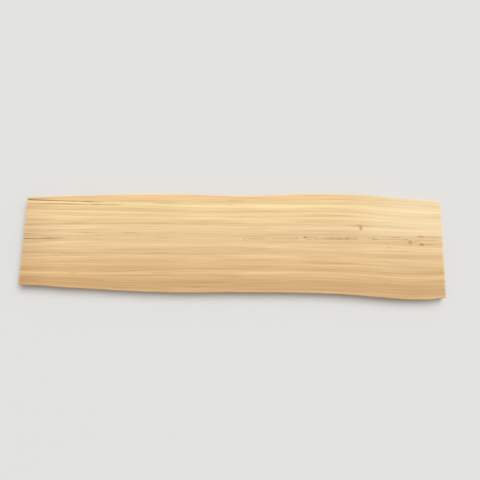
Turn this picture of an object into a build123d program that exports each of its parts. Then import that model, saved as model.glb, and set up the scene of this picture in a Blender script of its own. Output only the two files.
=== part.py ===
"""A live-edge timber plank, one solid piece of softwood.

It was sawn through the heart of a small log and planed flat on both faces. Its long
edges are the log's own surface, with the bark taken off, and its ends are cross-cut
square. It lies on its underside, with its length along X and its show face up.
"""

from build123d import *
from math import hypot
import os

# Sizes of the sawn board, in millimetres
LENGTH = 2000
THICKNESS = 45
ARRIS_RADIUS = 3

# The log, measured on the show face. Each list gives the distance from a straight line
# snapped along the board to one live edge, at evenly spaced stations from the left end
# to the right end.
FAR_EDGE = (190.5, 201.5, 211.5, 218.5, 219.5, 217.5, 225.5, 234.5, 233.5, 221, 207.5)
NEAR_EDGE = (235.5, 240.5, 249.5, 254.5, 255.5, 250, 247.5, 246.5, 255, 268.5, 256.5)
HEART_BELOW_FACE = 4

# Drying checks, which open from the left end along the grain. Each has its place at the
# end, measured from the snapped line, then how far it drifts towards the far edge on
# its way, its length, and its width and depth at the end.
HEART_CHECK = {"place": -12, "drift": 2.5, "length": 200, "width": 2.4, "depth": 34}
SHORT_CHECK = {"place": 12.5, "drift": 1.5, "length": 80, "width": 1.2, "depth": 14}
EDGE_CHECK = {"place": 180.5, "drift": -5, "length": 350, "width": 2.6, "depth": 22}

# How far a cutter stands clear of what it cuts
CLEAR = 5


def trunk():
    """The length of log that the board comes from: a loft of round sections."""
    last = len(FAR_EDGE) - 1
    rounds = []
    for station, (far, near) in enumerate(zip(FAR_EDGE, NEAR_EDGE)):
        x = LENGTH * (station / last - 0.5)
        centre = (x, (far - near) / 2, THICKNESS - HEART_BELOW_FACE)
        radius = hypot((far + near) / 2, HEART_BELOW_FACE)
        section = Plane(origin=centre, x_dir=(0, 0, 1), z_dir=(1, 0, 0))
        rounds.append(section * Circle(radius))
    return loft(rounds)


def saw_cuts():
    """The space between the two saw cuts, longer and wider than any log that fits."""
    width = 2 * (max(FAR_EDGE) + max(NEAR_EDGE))
    between = Box(LENGTH + 2 * CLEAR, width, THICKNESS)
    return Pos(0, 0, THICKNESS / 2) * between


def check_cutter(place, drift, length, width, depth):
    """A check as a thin pyramid, which narrows and gets shallower towards its tip."""
    grow = (length + CLEAR) / length
    above = depth * grow
    half_width = width * grow
    end = Plane(origin=(-LENGTH / 2 - CLEAR, place, THICKNESS), x_dir=(0, 1, 0), z_dir=(1, 0, 0))
    root = Polygon((-half_width, above), (half_width, above), (0, -depth * grow), align=None)
    tip = Vertex(-LENGTH / 2 + length, place + drift, THICKNESS)
    return loft([(end * root).face(), tip])


def plank():
    """The board cut from the trunk, with its arrises eased and its checks open."""
    board = trunk() & saw_cuts()
    board = fillet(board.edges(), ARRIS_RADIUS)
    for check in (HEART_CHECK, SHORT_CHECK, EDGE_CHECK):
        board -= check_cutter(**check)
    middle = board.bounding_box().center()
    return Pos(0, -middle.Y, 0) * board


os.makedirs("parts", exist_ok=True)
export_step(plank(), "parts/plank.step")
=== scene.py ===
import math

import bmesh
import bpy
import numpy as np
from mathutils import Matrix, Vector, noise
from mathutils.bvhtree import BVHTree


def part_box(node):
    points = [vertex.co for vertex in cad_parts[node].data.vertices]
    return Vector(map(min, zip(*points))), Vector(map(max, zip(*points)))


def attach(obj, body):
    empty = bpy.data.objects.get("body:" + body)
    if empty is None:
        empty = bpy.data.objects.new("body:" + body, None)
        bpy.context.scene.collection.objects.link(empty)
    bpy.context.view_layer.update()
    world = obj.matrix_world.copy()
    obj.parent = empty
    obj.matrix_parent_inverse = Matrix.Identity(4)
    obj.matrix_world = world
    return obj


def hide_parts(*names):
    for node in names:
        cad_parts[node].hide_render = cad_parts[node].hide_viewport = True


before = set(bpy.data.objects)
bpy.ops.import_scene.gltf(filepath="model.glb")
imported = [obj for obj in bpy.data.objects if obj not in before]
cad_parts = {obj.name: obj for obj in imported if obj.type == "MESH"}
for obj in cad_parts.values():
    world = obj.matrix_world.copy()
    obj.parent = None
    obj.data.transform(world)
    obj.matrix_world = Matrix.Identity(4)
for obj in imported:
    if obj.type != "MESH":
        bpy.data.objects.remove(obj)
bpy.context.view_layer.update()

MM = 0.001

# The plank's own sizes, in metres
LOW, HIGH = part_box("plank")
LENGTH = HIGH.x - LOW.x
THICKNESS = HIGH.z - LOW.z
ARRIS = 3 * MM

# Places on the show face are given in millimetres from the middle of the plank's length
# and from a straight line snapped along it, which lies here in the frame
SNAPPED_LINE = 16.2 * MM

# How finely the plank is meshed: steps along it, across a face and up an edge, and how
# far an arris has turned, in degrees, at the rows of points that round it
ALONG, ACROSS, UP = 470, 24, 18
ARRIS_TURN = (45, 30, 15, 0)


def smooth(value):
    """An eased step from 0 to 1."""
    value = np.clip(value, 0, 1)
    return value * value * (3 - 2 * value)


def colour(red, green, blue):
    """A colour written as it shows on a screen, 0 to 255, made linear for the shaders."""
    def linear(level):
        share = level / 255
        return share / 12.92 if share <= 0.04045 else ((share + 0.055) / 1.055) ** 2.4
    return (linear(red), linear(green), linear(blue), 1)


# The shape of the plank

# Stations at which the solid's edges are read, heights at each, and how many stations the
# smoothing that takes out its facets spans
EDGE_STATIONS, EDGE_HEIGHTS, EDGE_SMOOTHING = 401, 5, 21

# Relief of the live edges: height in mm, how often it changes in a metre along the plank
# and up its thickness, and where its noise is read
EDGE_RELIEF = {
    "swells": (1.1, 4, 6, 0),
    "dents": (1.0, 15, 36, 3),
    "ridges along the fibres": (0.8, 11, 150, 5),
    "ripples": (0.3, 46, 260, 9),
}

# How far the relief is set back in mm, so that nearly all of it lies inside the solid, and
# how far apart the two edges' noise is read, so that they differ
EDGE_INSET = 0.6
SIDES_APART = 7


def sampled_edges(stations, heights):
    """Where the solid's long edges lie: y at each station and height, near and far."""
    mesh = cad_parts["plank"].data
    tree = BVHTree.FromPolygons(
        [vertex.co for vertex in mesh.vertices],
        [face.vertices for face in mesh.polygons],
    )
    inset = 2 * ARRIS
    edges = []
    for side in (-1, 1):
        start = side * LENGTH
        ray = Vector((0, -side, 0))
        hits = [
            [tree.ray_cast(Vector((x, start, z)), ray)[0].y for z in heights]
            for x in np.clip(stations, LOW.x + inset, HIGH.x - inset)
        ]
        edges.append(np.array(hits))
    return edges


def without_facets(rows, window):
    """Each column of the rows, averaged over a window of stations along the plank."""
    kernel = np.hanning(window + 2)[1:-1]
    kernel = kernel / kernel.sum()
    padded = np.pad(rows, ((window // 2, window // 2), (0, 0)), "reflect", reflect_type="odd")
    return np.stack([np.convolve(column, kernel, "valid") for column in padded.T], 1)


class EdgeShape:
    """The solid's two live edges, read as y at any station and height."""

    def __init__(self):
        heights = np.linspace(ARRIS + MM, THICKNESS - ARRIS - MM, EDGE_HEIGHTS)
        self.stations = np.linspace(LOW.x, HIGH.x, EDGE_STATIONS)
        self.bends = []
        for hits in sampled_edges(self.stations, heights):
            even = without_facets(hits, EDGE_SMOOTHING)
            self.bends.append(np.polynomial.polynomial.polyfit(heights, even.T, 2))

    def at(self, side, x, z):
        """y of the near edge (side 0) or far edge (side 1)."""
        flat, slope, bend = (np.interp(x, self.stations, row) for row in self.bends[side])
        return flat + slope * z + bend * z * z


SHAPE = EdgeShape()


def edge_relief(x, z, side):
    """How far a live edge stands out or in, where side is -1 for near and 1 for far."""
    out = -EDGE_INSET
    for height, along, up, place in EDGE_RELIEF.values():
        out += height * noise.noise((along * x, up * z, place + SIDES_APART * side))
    return out * MM


def along_grid(size, radius, steps):
    """Places along one side of a block, close together where its arrises turn."""
    turn = radius * (1 - np.tan(np.radians(ARRIS_TURN)))
    # The first row past an arris lies close beside it, and keeps the side flat there
    beside = 1.4 * radius
    middle = np.linspace(beside, size - beside, steps)
    return np.concatenate([turn, middle, size - turn[::-1]])


def rounded(place, size):
    """A point on a block's side, moved onto the round of the arris if it lies on one."""
    core = np.clip(place, ARRIS, size - ARRIS)
    out = place - core
    return core + out * (ARRIS / np.linalg.norm(out))


def block_faces(index):
    """The faces of a block's six sides, from its grid of vertex numbers."""
    sides = (
        index[:, :, 0].T, index[:, :, -1],
        index[:, 0, :], index[:, -1, :].T,
        index[0, :, :].T, index[-1, :, :],
    )
    for grid in sides:
        corners = [grid[:-1, :-1], grid[1:, :-1], grid[1:, 1:], grid[:-1, 1:]]
        yield from np.stack(corners, -1).reshape(-1, 4).tolist()


def plank_mesh():
    """The plank's surface: a block whose flanks follow the live edges.

    Here s, u and v are places along, across and up the block.
    """
    turn = len(ARRIS_TURN)
    s_grid = along_grid(LENGTH, ARRIS, ALONG)
    v_grid = along_grid(THICKNESS, ARRIS, UP)
    last = [steps + 2 * turn - 1 for steps in (ALONG, ACROSS, UP)]
    flank = range(turn - 1, last[2] - turn + 2)
    index = np.full([number + 1 for number in last], -1)
    points, live = [], []
    for i, s in enumerate(s_grid):
        near, far = (SHAPE.at(side, LOW.x + s, THICKNESS / 2) for side in (0, 1))
        near_bends = SHAPE.at(0, LOW.x + s, v_grid) - near
        far_bends = SHAPE.at(1, LOW.x + s, v_grid) - far
        width = far - near
        size = np.array((LENGTH, width, THICKNESS))
        for j, u in enumerate(along_grid(width, ARRIS, ACROSS)):
            for k, v in enumerate(v_grid):
                if 0 < i < last[0] and 0 < j < last[1] and 0 < k < last[2]:
                    continue
                x, across, z = rounded(np.array((s, u, v)), size)
                x += LOW.x
                share = smooth(across / width)
                near_bend = near_bends[k] - edge_relief(x, z, -1)
                far_bend = far_bends[k] + edge_relief(x, z, 1)
                y = near + across + near_bend * (1 - share) + far_bend * share
                index[i, j, k] = len(points)
                points.append((x, y, z))
                live.append(float(j in (0, last[1]) and k in flank))
    mesh = bpy.data.meshes.new("plank_wood")
    mesh.from_pydata(points, [], list(block_faces(index)))
    mask = mesh.attributes.new("live_edge", "FLOAT", "POINT")
    mask.data.foreach_set("value", live)
    mesh.shade_smooth()
    return mesh


# The drying checks, cut as thin wedges that wander with the grain. Each has its path as
# places along and across the show face, and its width and depth at the end, in mm.

CHECKS = {
    "heart_check": {
        "path": ((-1000, -12), (-940, -11.4), (-880, -10.4), (-840, -9.8), (-800, -9.4)),
        "width": 2.6,
        "depth": 34,
    },
    "short_check": {
        "path": ((-1000, 12.5), (-965, 13.2), (-915, 14)),
        "width": 1.2,
        "depth": 14,
    },
    "edge_check": {
        "path": ((-1000, 180.8), (-960, 179.4), (-900, 178), (-740, 175.8), (-650, 175.5)),
        "width": 2.8,
        "depth": 22,
    },
}

# How many sections a cutter has, and how far it stands beyond the end and above the face
CUTTER_SECTIONS = 40
CUTTER_BEYOND = 6 * MM
CUTTER_ABOVE = 2 * MM

# Half the width of a check at its tip, and the size of the flat slivers that cutting
# leaves, which are cleared
CHECK_TIP = 0.04 * MM
SLIVER = 0.01 * MM


def check_cutter(name, path, width, depth):
    """A closed wedge along a check's path, wide and deep at the end of the plank."""
    along = [x * MM for x, _ in path]
    across = [y * MM + SNAPPED_LINE for _, y in path]
    start = along[0]
    run = along[-1] - start
    high = THICKNESS + CUTTER_ABOVE
    points, faces = [], []
    for number, x in enumerate(np.linspace(start - CUTTER_BEYOND, along[-1], CUTTER_SECTIONS)):
        y = np.interp(x, along, across)
        # It gets narrower and shallower towards its tip, unevenly, and wanders sideways
        left = 1 - (x - start) / run
        uneven = 0.1 * noise.noise((90 * x, 5, y)) * min(left, 1)
        half = max(width * MM * (0.5 * left ** 1.2 + uneven), CHECK_TIP)
        low = THICKNESS - depth * MM * max(left, 0.02) ** 0.6
        middle = y + 0.5 * MM * noise.noise((60 * x, 40 * y, 2))
        bottom = middle + 0.6 * MM * noise.noise((30 * x, 9, y))
        spread = half * (high - low) / (THICKNESS - low)
        points += [(x, middle - spread, high), (x, middle + spread, high), (x, bottom, low)]
        if number:
            a, b = 3 * number - 3, 3 * number
            faces += [(a, b, b + 1, a + 1), (a + 1, b + 1, b + 2, a + 2), (a + 2, b + 2, b, a)]
    end = len(points) - 3
    faces += [(0, 1, 2), (end, end + 2, end + 1)]
    mesh = bpy.data.meshes.new(name)
    mesh.from_pydata(points, [], faces)
    cutter = bpy.data.objects.new(name, mesh)
    bpy.context.scene.collection.objects.link(cutter)
    return cutter


def clear_slivers(mesh):
    """Divides the faces that cuts cross, and takes out what is too thin to be a face."""
    shape = bmesh.new()
    shape.from_mesh(mesh)
    crossed = [face for face in shape.faces if len(face.verts) > 4]
    bmesh.ops.triangulate(shape, faces=crossed, ngon_method="BEAUTY")
    bmesh.ops.dissolve_degenerate(shape, dist=SLIVER, edges=shape.edges)
    shape.to_mesh(mesh)
    shape.free()


def open_checks(plank, check_shade):
    """Cuts the checks into the plank and gives their walls a dark brown: painted shade inside the checks."""
    for name, check in CHECKS.items():
        cutter = check_cutter(name, **check)
        cutter.data.materials.append(check_shade)
        cut = plank.modifiers.new(name, "BOOLEAN")
        cut.operation = "DIFFERENCE"
        cut.solver = "EXACT"
        cut.material_mode = "TRANSFER"
        cut.object = cutter
    bpy.context.view_layer.update()
    graph = bpy.context.evaluated_depsgraph_get()
    opened = bpy.data.meshes.new_from_object(plank.evaluated_get(graph))
    plank.modifiers.clear()
    clear_slivers(opened)
    plank.data = opened
    for name in CHECKS:
        bpy.data.objects.remove(bpy.data.objects[name])


# Materials

class Graph:
    """A node tree, with a short call for each kind of node that the scene uses."""

    def __init__(self, tree):
        self.nodes = tree.nodes
        self.links = tree.links
        self.nodes.clear()

    def add(self, kind, inputs, **settings):
        """A node with its settings, and with each input linked to a socket or set to a value."""
        node = self.nodes.new(kind)
        for name, value in settings.items():
            setattr(node, name, value)
        for key, value in inputs.items():
            socket = node.inputs[key]
            if isinstance(value, bpy.types.NodeSocket):
                self.links.new(value, socket)
            else:
                socket.default_value = value
        return node

    def math(self, operation, *values):
        inputs = dict(enumerate(values))
        return self.add("ShaderNodeMath", inputs, operation=operation).outputs[0]

    def total(self, *values):
        result = values[0]
        for value in values[1:]:
            result = self.math("ADD", result, value)
        return result

    def times(self, *values):
        result = values[0]
        for value in values[1:]:
            result = self.math("MULTIPLY", result, value)
        return result

    def swing(self, value, size):
        """A value from 0 to 1 as a swing to both sides of zero, size from end to end."""
        return self.math("MULTIPLY_ADD", value, size, -size / 2)

    def remap(self, value, low, high, to_low=0.0, to_high=1.0, eased=False):
        """The value's place between low and high, clamped, as a place between two others."""
        inputs = {"Value": value, "From Min": low, "From Max": high, "To Min": to_low, "To Max": to_high}
        kind = "SMOOTHSTEP" if eased else "LINEAR"
        return self.add("ShaderNodeMapRange", inputs, interpolation_type=kind).outputs["Result"]

    def vector(self, x, y, z):
        return self.add("ShaderNodeCombineXYZ", {"X": x, "Y": y, "Z": z}).outputs[0]

    def noise(self, *axes, detail=2.0):
        """Soft noise from 0 to 1. Each of three axes is a value and the size of its features
        along that value, or one number where the noise is read."""
        places = [self.times(axis[0], 1 / axis[1]) if isinstance(axis, tuple) else axis for axis in axes]
        inputs = {"Vector": self.vector(*places), "Scale": 1.0, "Detail": detail, "Roughness": 0.5}
        return self.add("ShaderNodeTexNoise", inputs).outputs[0]

    def mix(self, share, first, second, blend="MIX"):
        inputs = {0: share, 6: first, 7: second}
        return self.add("ShaderNodeMix", inputs, data_type="RGBA", blend_type=blend).outputs[2]

    def ramp(self, place, stops, low, high):
        """Colours at places from low to high."""
        share = self.remap(place, low, high)
        node = self.add("ShaderNodeValToRGB", {0: share})
        elements = node.color_ramp.elements
        first, *between, last = sorted(stops)
        for element, (at, shade) in zip(elements, (first, last)):
            element.position = (at - low) / (high - low)
            element.color = shade
        for at, shade in between:
            elements.new((at - low) / (high - low)).color = shade
        return node.outputs[0]

    def curve(self, along, places, low, high):
        """A smooth curve of places, from low to high, at stations along the plank in mm."""
        node = self.add("ShaderNodeFloatCurve", {"Value": along})
        line = node.mapping.curves[0]
        half = LENGTH / MM / 2
        ends = [((x + half) / (2 * half), (y - low) / (high - low)) for x, y in places]
        line.points[0].location = ends[0]
        line.points[1].location = ends[-1]
        for x, y in ends[1:-1]:
            line.points.new(x, y)
        for point in line.points:
            point.handle_type = "AUTO"
        node.mapping.update()
        return self.math("MULTIPLY_ADD", node.outputs[0], high - low, low)


# Lines that the growth rings follow on the show face. Each has the place it is known by,
# then how far it lies from the snapped line at stations along the plank, in mm.
STATIONS = (-1000, -600, -200, 100, 400, 600, 800, 1000)
RING_LINES = (
    (-157, (-174, -171, -161, -156, -152, -155, -165, -161)),
    (-39, (-63, -53, -43, -38, -41, -44, -50, -53)),
    (8, (-11, 2, 5, 8, 16, 18, 17, 15)),
    (77, (62, 69, 74, 78, 82, 82, 77, 76)),
    (126, (124, 124, 124, 128, 134, 132, 117, 114)),
    (165, (170, 166, 167, 165, 172, 172, 157, 151)),
)

# The places that the heart and the two live edges are known by
HEART = 8
NEAR_EDGE, FAR_EDGE = -251, 219

# The furthest that a ring line lies from the snapped line, and the least and greatest
# depth of the pith, in mm
LINE_REACH = 300
DEPTH_RANGE = (-5, 20)

# How far the pith lies below the show face, in mm, at stations along the plank
PITH_DEPTH = (
    (-1000, 6), (-840, 9), (-680, 12.5), (-655, 12), (-620, 9), (-500, 10), (-300, 16), (-80, 18),
    (30, 17.8), (46, 17), (74, 13.2), (100, 12.5), (142, 12.3), (156, 9.8), (180, 6), (220, 5.2),
    (290, 5.2), (316, 2.8), (345, 2.2), (405, 3), (440, 1.2), (520, -0.5), (570, 0.8), (640, 3.2),
    (665, 2.2), (690, 3.5), (800, 5.5), (895, 1.5), (1000, 4),
)

# The pale and dark bands across the show face, on each side of the heart: the darkest and
# lightest tone of the side, then how light the wood is at places out to the live edge. Beside
# the wood's own tones they hold painted light: the far side is partly lighter as painted
# light and the near side partly darker as painted shade, and the rise just inside each live
# edge is partly a painted highlight along its arris
NEAR_TONES_WITH_SHADE = ((210, 170, 122), (240, 208, 153))
NEAR_BANDS = (
    (8, 0.9), (-10, 0.85), (-28, 0.95), (-34, 0.9), (-44, 0.55), (-56, 0.45), (-68, 0.6), (-80, 0.8),
    (-90, 0.62), (-104, 0.45), (-119, 0.58), (-136, 0.18), (-146, 0.4), (-157, 0.82), (-170, 0.38),
    (-182, 0.3), (-192, 0.08), (-212, 0.0), (-236, 0.08), (-246, 0.3), (-251, 0.45),
)
FAR_TONES_WITH_LIGHT = ((225, 192, 140), (255, 228, 174))
FAR_BANDS = (
    (8, 0.3), (30, 0.22), (44, 0.3), (58, 0.6), (67, 0.5), (76, 0.02), (85, 0.4), (93, 0.28),
    (106, 0.76), (118, 0.34), (126, 0.68), (137, 0.25), (148, 0.36), (156, 0.58), (165, 1.06),
    (176, 0.52), (190, 0.34), (206, 0.3), (213, 0.45), (219, 0.65),
)

# How far apart the growth rings are, and the bolder ones of the heart figure, in mm
RING_SPACING = 3.4
HEART_RING_SPACING = 3.6

# The wood's other colours
PITH_TINT = colour(236, 206, 180)
RIND_TINT = colour(250, 198, 146)
LATE_WOOD = colour(196, 138, 84)
PALE_WOOD = colour(255, 236, 198)
# A painted highlight for the rims by the ends
END_RIM_HIGHLIGHT = colour(250, 230, 196)
STAIN = colour(152, 97, 46)
SKIN = colour(214, 168, 118)
SKIN_STRANDS = colour(176, 124, 78)
BAST = colour(142, 92, 56)
END_GRAIN = colour(226, 212, 196)
END_RINGS = colour(170, 112, 64)
# Painted shade for the inside of the checks
PAINTED_CHECK_SHADE = colour(92, 58, 34)

# What the wood by the checked end is multiplied by, and how red, green and blue follow
# the shade of a streak, as a factor and an offset that leave a shade of 1 nearly alone
CHECKED_END = (0.90, 0.84, 0.86, 1)
SHADE_TO_COLOUR = ((0.806, 0.201), (0.997, 0.0), (1.174, -0.212))

# Small dark marks on the show face: place along and across, length and width in mm, strength
MARKS = (
    # a small spike knot, and the grain that it darkens beside it
    (611, 71, 18, 33, 0.53), (601, 80, 38, 14, 0.36), (612, 80, 130, 8, 0.26),
    # the eye in the heart figure: its dark ends and the lines round it
    (344, 19, 22, 8, 0.78), (304, 12.5, 17, 8, 0.42), (400, 12, 18, 8, 0.30), (372, 20.5, 60, 4, 0.45),
    (366, 7.5, 66, 3.5, 0.35), (394, 18, 16, 5, 0.40),
    # the pith, where it lies bare
    (428, 12.5, 50, 6, 0.20), (468, 15.5, 44, 8, 0.36), (508, 13.5, 30, 7.5, 0.36), (541, 13, 15, 9, 0.50),
    (548, 18, 32, 24, 0.20), (585, 23.5, 44, 4.5, 0.22), (582, 13, 40, 4.5, 0.22),
    # a small ring figure further on
    (648, 20.5, 18, 5, 0.55), (672, 23, 18, 5, 0.45), (678, 15, 44, 6, 0.50), (706, 17, 36, 4, 0.30),
    # two round pin knots and the dashes near them
    (845, 4.5, 24, 29, 0.44), (862, 6, 60, 18, 0.16), (898.6, -6, 28, 14, 0.68), (930, -5, 70, 7, 0.36),
    (896, 33, 44, 6, 0.68), (900, 30, 60, 12, 0.25), (950, 32, 110, 5, 0.42), (985, 31.5, 40, 6, 0.22),
    (778, 26.5, 54, 5.5, 0.42), (825, 17, 20, 7, 0.38), (742, -24, 24, 7, 0.25),
    # dark flecks by the heart towards the checked end
    (-878, -5, 64, 10, 0.26), (-826, -5, 60, 7, 0.30), (-648, 12, 44, 8, 0.13), (-638, -8, 54, 7, 0.20),
    (-700, 22.4, 100, 4, 0.32), (-490, 26, 90, 5, 0.34), (-300, 33, 80, 4, 0.18), (-930, 22, 130, 4, 0.30),
    # darker marks round the checks and beyond their ends
    (-930, 178.6, 150, 7, 0.40), (-850, 177, 130, 7, 0.26), (-785, 176.2, 120, 9, 0.34),
    (-706, 175.6, 96, 7.5, 0.64), (-655, 175.3, 60, 4, 0.40), (-950, -11.5, 130, 8, 0.12),
    (-870, -10, 120, 9, 0.40),
    # a brown line beside the edge check
    (-820, 161.2, 330, 6, 0.75), (-664, 161.6, 90, 7, 0.60), (-600, 161.4, 140, 6, 0.55),
    # two faint swirls
    (-748, -170.7, 46, 12, 0.15), (-835, -92, 50, 12, 0.12),
)


class Field:
    """Where a point of the wood lies, as nodes.

    x, y and z are its place in the plank in mm, with y from the snapped line, and radius
    is how far it lies from the pith. side goes from 0 on the near side of the heart to 1
    on the far side. steep goes from 0 over the heart, where the rings lie flat in the show
    face, to 1 where they stand upright. ends is 1 on the two end faces.
    """

    def __init__(self, g):
        coordinates = g.add("ShaderNodeTexCoord", {}).outputs
        in_mm = g.add("ShaderNodeVectorMath", {0: coordinates["Object"], "Scale": 1 / MM}, operation="SCALE")
        self.x, y, self.z = g.add("ShaderNodeSeparateXYZ", {0: in_mm.outputs[0]}).outputs
        self.y = g.math("SUBTRACT", y, SNAPPED_LINE / MM)
        facing = g.add("ShaderNodeSeparateXYZ", {0: coordinates["Normal"]}).outputs[0]
        self.ends = g.remap(g.math("ABSOLUTE", facing), 0.6, 0.9)

        # A stretch across the plank puts the ring lines and both live edges at their places
        slow = g.noise((self.x, 260), (self.y, 70), (self.z, 70))
        quick = g.noise((self.x, 60), (self.y, 22), (self.z, 22))
        bent = g.total(self.y, g.swing(slow, 6.0), g.swing(quick, 1.6))
        along = g.remap(self.x, -LENGTH / MM / 2, LENGTH / MM / 2)
        near, far = (
            [(SHAPE.at(edge, x * MM, THICKNESS) - SNAPPED_LINE) / MM for x in STATIONS]
            for edge in (0, 1)
        )
        curves = [
            (place, g.curve(along, list(zip(STATIONS, line)), -LINE_REACH, LINE_REACH))
            for place, line in ((NEAR_EDGE, near), *RING_LINES, (FAR_EDGE, far))
        ]
        place = float(NEAR_EDGE)
        for (low, low_line), (high, high_line) in zip(curves, curves[1:]):
            place = g.math("ADD", g.remap(bent, low_line, high_line, 0.0, float(high - low)), place)

        # Rings are round the pith, which lies just below the show face
        sideways = g.math("SUBTRACT", place, float(HEART))
        pith = g.math("SUBTRACT", THICKNESS / MM, g.curve(along, PITH_DEPTH, *DEPTH_RANGE))
        below = g.math("SUBTRACT", pith, self.z)
        self.radius = g.math("SQRT", g.total(g.times(sideways, sideways), g.times(below, below)))
        slant = g.math("DIVIDE", sideways, g.math("ADD", self.radius, 0.5))
        self.side = g.remap(slant, -0.6, 0.6, eased=True)
        self.steep = g.math("ABSOLUTE", slant)


def band_stops(bands, tones):
    """Colour stops for one side's bands, from how light each of them is."""
    dark, light = tones
    return [
        (place, colour(*(low + (high - low) * share for low, high in zip(dark, light))))
        for place, share in bands
    ]


def banded(g, at):
    """The broad bands, warmer by the pith and in the rind inside the far edge."""
    outward = g.math("ADD", at.radius, float(HEART))
    inward = g.math("SUBTRACT", float(HEART), at.radius)
    far = g.ramp(outward, band_stops(FAR_BANDS, FAR_TONES_WITH_LIGHT), float(HEART), float(FAR_EDGE))
    near = g.ramp(inward, band_stops(NEAR_BANDS, NEAR_TONES_WITH_SHADE), float(NEAR_EDGE), float(HEART))
    # Painted light in part: the far side's tones are lighter and the near side's darker as the light fell
    tint = g.mix(at.side, near, far)
    by_pith = g.remap(at.radius, 150.0, 14.0, eased=True)
    tint = g.mix(g.times(by_pith, 0.20), tint, PITH_TINT)
    rind = g.remap(outward, 182.0, 194.0, eased=True)
    rind = g.times(rind, g.remap(at.x, 700.0, 300.0), at.side)
    return g.mix(g.times(rind, 0.30), tint, RIND_TINT)


def streaks(g, at):
    """Streaks along the rings at two spacings, and thin dark lines that come and go."""
    wide = g.noise((at.x, 720), (at.radius, 9), 0.0, detail=1.0)
    fine = g.noise((at.x, 300), (at.radius, 3.6), 4.0, detail=1.0)
    crest = g.noise((at.x, 700), (at.radius, 15), 7.0, detail=0.0)
    off_crest = g.math("ABSOLUTE", g.math("SUBTRACT", crest, 0.5))
    coming = g.noise((at.x, 200), (at.radius, 12), 11.0, detail=1.0)
    thin = g.times(g.remap(off_crest, 0.045, 0.0, eased=True), g.remap(coming, 0.42, 0.62, eased=True))
    streak = g.total(g.swing(wide, 0.33), g.swing(fine, 0.54), g.times(thin, -0.13))
    # They are stronger near the checked end, and fade where the rings lie flat in the face
    by_end = g.remap(at.x, -1000.0, -600.0, 1.4, 1.0)
    by_slope = g.remap(at.steep, 0.5, 0.95, 0.12, 1.0)
    return g.times(streak, by_end, by_slope)


def late_wood(g, at):
    """Growth rings: pale early wood that darkens to a thin line of late wood."""
    warp = g.noise((at.radius, 16), 0.0, 8.0, detail=1.0)
    turns = g.total(g.times(at.radius, 1 / RING_SPACING), g.times(warp, 2.6))
    part = g.math("FRACT", turns)
    return g.times(g.math("POWER", part, 4.0), g.remap(part, 1.0, 0.9))


def heart_figure(g, at):
    """Bolder rings by the pith, which make pointed arches where they leave the face."""
    part = g.math("FRACT", g.math("MULTIPLY_ADD", at.radius, 1 / HEART_RING_SPACING, 0.278))
    arches = g.times(g.remap(part, 0.4, 0.92, eased=True), g.remap(part, 1.0, 0.95))
    return g.times(arches, g.remap(at.radius, 30.0, 16.0), g.remap(at.x, -60.0, 40.0, 0.35, 1.0))


def grained(g, at, late, threads):
    """The bands with their streaks, rings, heart figure and fibres."""
    patches = g.noise((at.x, 210), (at.y, 90), (at.z, 90))
    shade = g.total(
        1.0,
        streaks(g, at),
        g.times(late, g.remap(at.radius, 34.0, 8.0, 0.10, 0.12), -1.0),
        g.times(heart_figure(g, at), -0.24),
        g.swing(threads, 0.08),
        g.swing(patches, 0.06),
    )
    shades = [g.math("MULTIPLY_ADD", shade, *line) for line in SHADE_TO_COLOUR]
    tint = g.mix(1.0, banded(g, at), g.vector(*shades), "MULTIPLY")
    return g.mix(g.times(late, 0.12), tint, LATE_WOOD)


def with_end_tints(g, at, tint):
    """Paler wood beyond the heart by the sound end, a painted highlight on the rims by both ends, and a
    duller checked end.
    """
    pale = g.times(g.remap(at.x, 480.0, 900.0, eased=True), g.remap(at.y, -10.0, 70.0, eased=True))
    tint = g.mix(g.times(pale, 0.36), tint, PALE_WOOD)
    # Painted highlight: the last 10 mm of the face by each end, and the end faces, are lightened towards a
    # pale colour
    rim_highlight = g.remap(g.math("ABSOLUTE", at.x), 990.0, 999.5, eased=True)
    tint = g.mix(g.times(rim_highlight, 0.35), tint, END_RIM_HIGHLIGHT)
    return g.mix(g.remap(at.x, -840.0, -1000.0), tint, CHECKED_END, "MULTIPLY")


def marked(g, at):
    """How strongly the bare pith, the knots and the stains darken the show face."""
    on_face = g.remap(at.z, THICKNESS / MM - 12, THICKNESS / MM - 5)
    marks = g.times(g.remap(at.radius, 2.3, 1.0, eased=True), 0.38)
    rough_edge = g.swing(g.noise((at.x, 6), (at.y, 2.5), 0.0), 0.9)
    for along, across, long, high, strength in MARKS:
        dx = g.times(g.math("SUBTRACT", at.x, float(along)), 2 / long)
        dy = g.times(g.math("SUBTRACT", at.y, float(across)), 2 / high)
        reach = g.total(g.math("SQRT", g.total(g.times(dx, dx), g.times(dy, dy))), rough_edge)
        spot = g.times(g.remap(reach, 1.3, 0.3, eased=True), strength, on_face)
        marks = g.math("MAXIMUM", marks, spot)
    return marks


def skinned(g, at, tint, strands):
    """The live edges' warmer skin, with thin brown remains of bast in the hollows."""
    hollows = g.noise((at.x, 60), (at.z, 5), 2.0, detail=3.0)
    tint = g.mix(0.50, tint, SKIN)
    tint = g.mix(g.times(g.remap(strands, 0.40, 0.72), 0.34), tint, SKIN_STRANDS)
    return g.mix(g.times(g.remap(hollows, 0.57, 0.70, eased=True), 0.42), tint, BAST)


def new_material(name):
    material = bpy.data.materials.new(name)
    material.use_nodes = True
    return material


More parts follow.
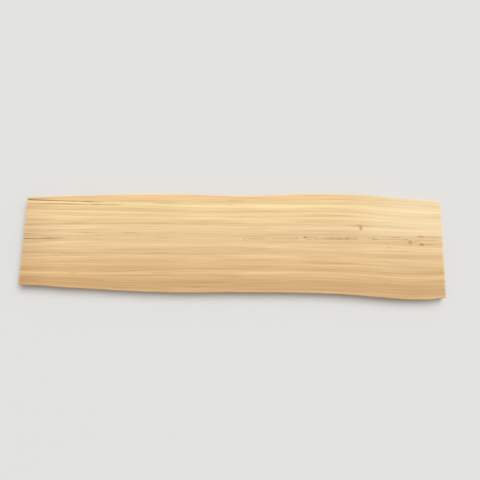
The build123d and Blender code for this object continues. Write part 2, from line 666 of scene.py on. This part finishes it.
def wood(name, painted_shade=0.0):
    """The plank's pale softwood, darkened by a share towards the painted shade inside a check."""
    material = new_material(name)
    g = Graph(material.node_tree)
    at = Field(g)
    late = late_wood(g, at)
    threads = g.noise((at.x, 70), (at.y, 0.9), (at.z, 0.9))
    strands = g.noise((at.x, 34), (at.z, 1.1), (at.y, 40))
    live = g.add("ShaderNodeAttribute", {}, attribute_name="live_edge").outputs["Fac"]

    tint = with_end_tints(g, at, grained(g, at, late, threads))
    tint = g.mix(marked(g, at), tint, STAIN)
    tint = g.mix(live, tint, skinned(g, at, tint, strands))
    end_tint = g.mix(1.0, tint, END_GRAIN, "MULTIPLY")
    end_tint = g.mix(g.times(late, 0.5), end_tint, END_RINGS)
    tint = g.mix(at.ends, tint, end_tint)
    # Painted shade: a check's walls are darkened by this share towards a deep brown
    if painted_shade:
        tint = g.mix(painted_shade, tint, PAINTED_CHECK_SHADE)

    # Relief too fine to mesh: ring lines, fibres and, on the ends, the marks of the saw
    kerf = g.noise(0.0, (at.y, 1.3), (at.z, 26), detail=1.0)
    height = g.total(
        g.times(late, 0.25),
        g.times(threads, 0.5),
        g.times(kerf, at.ends, 1.5),
        g.times(strands, live, -4.0),
    )
    bump = g.add("ShaderNodeBump", {"Strength": 0.35, "Distance": 0.2 * MM, "Height": height})
    surface = g.add("ShaderNodeBsdfPrincipled", {
        "Base Color": tint,
        "Roughness": g.total(0.5, g.times(threads, 0.12), g.times(at.ends, 0.2)),
        "Normal": bump.outputs[0],
        "Specular IOR Level": 0.25,
    })
    g.add("ShaderNodeOutputMaterial", {"Surface": surface.outputs[0]})
    return material


def floor_material():
    """A plain pale floor."""
    material = new_material("pale_floor")
    g = Graph(material.node_tree)
    surface = g.add("ShaderNodeBsdfPrincipled", {"Base Color": colour(226, 226, 224), "Roughness": 0.8})
    g.add("ShaderNodeOutputMaterial", {"Surface": surface.outputs[0]})
    return material


# The plank, whose surface is shaded as one round except where it turns by more than this

SHARP_ANGLE = math.radians(32)


def make_plank():
    plank = bpy.data.objects.new("live_edge_plank", plank_mesh())
    bpy.context.scene.collection.objects.link(plank)
    plank.data.materials.append(wood("pale_softwood"))
    open_checks(plank, wood("painted_check_shade", 0.55))
    plank.data.set_sharp_from_angle(angle=SHARP_ANGLE)
    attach(plank, "root")
    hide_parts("plank")


# The camera, where the photograph's stood: its view is tilted and turned from square-on,
# and its axis meets the show face at a known place

VIEW_TILT = math.radians(11.0)
VIEW_ROLL = math.radians(1.057)
VIEW_DISTANCE = 2.2908
VIEW_ANGLE = math.radians(53.05)
VIEW_CENTRE = Vector((33 * MM, SNAPPED_LINE, THICKNESS))


def make_camera():
    camera = bpy.data.objects.new("camera", bpy.data.cameras.new("camera"))
    bpy.context.scene.collection.objects.link(camera)
    camera.data.angle = VIEW_ANGLE
    turn = Matrix.Rotation(VIEW_TILT, 4, "X") @ Matrix.Rotation(VIEW_ROLL, 4, "Z")
    back = turn @ Vector((0, 0, VIEW_DISTANCE))
    camera.matrix_world = Matrix.Translation(VIEW_CENTRE + back) @ turn
    bpy.context.scene.camera = camera


# The stage: a floor as wide as the eye sees, a hair below the plank, one soft lamp and an
# even light all round

FLOOR_SIZE = 120
FLOOR_LEVEL = -0.1 * MM
LAMP_DIRECTION = Vector((-0.35, -0.5, -1))
LAMP_ANGLE = math.radians(50)
LAMP_STRENGTH = 2.0
AROUND_STRENGTH = 0.45
SURROUND = colour(232, 232, 230)


def make_surround():
    """A world that lights the plank evenly, and shows as a plain pale background."""
    world = bpy.data.worlds.new("surround")
    bpy.context.scene.world = world
    world.use_nodes = True
    g = Graph(world.node_tree)
    light = g.add("ShaderNodeBackground", {"Color": (1, 1, 1, 1), "Strength": AROUND_STRENGTH})
    shown = g.add("ShaderNodeBackground", {"Color": SURROUND, "Strength": 1.0})
    path = g.add("ShaderNodeLightPath", {}).outputs
    seen = path["Is Camera Ray"]
    for kind in ("Is Glossy Ray", "Is Transmission Ray"):
        seen = g.math("MAXIMUM", seen, path[kind])
    choice = g.add("ShaderNodeMixShader", {0: seen, 1: light.outputs[0], 2: shown.outputs[0]})
    g.add("ShaderNodeOutputWorld", {"Surface": choice.outputs[0]})


def make_stage():
    bpy.ops.mesh.primitive_plane_add(size=FLOOR_SIZE, location=(0, 0, FLOOR_LEVEL))
    floor = bpy.context.object
    floor.name = "floor"
    floor.data.materials.append(floor_material())

    lamp = bpy.data.objects.new("soft_lamp", bpy.data.lights.new("soft_lamp", "SUN"))
    bpy.context.scene.collection.objects.link(lamp)
    lamp.data.angle = LAMP_ANGLE
    lamp.data.energy = LAMP_STRENGTH
    lamp.rotation_euler = LAMP_DIRECTION.to_track_quat("-Z", "Y").to_euler()
    make_surround()


bpy.context.scene.view_settings.view_transform = "Standard"
make_camera()
make_plank()
make_stage()
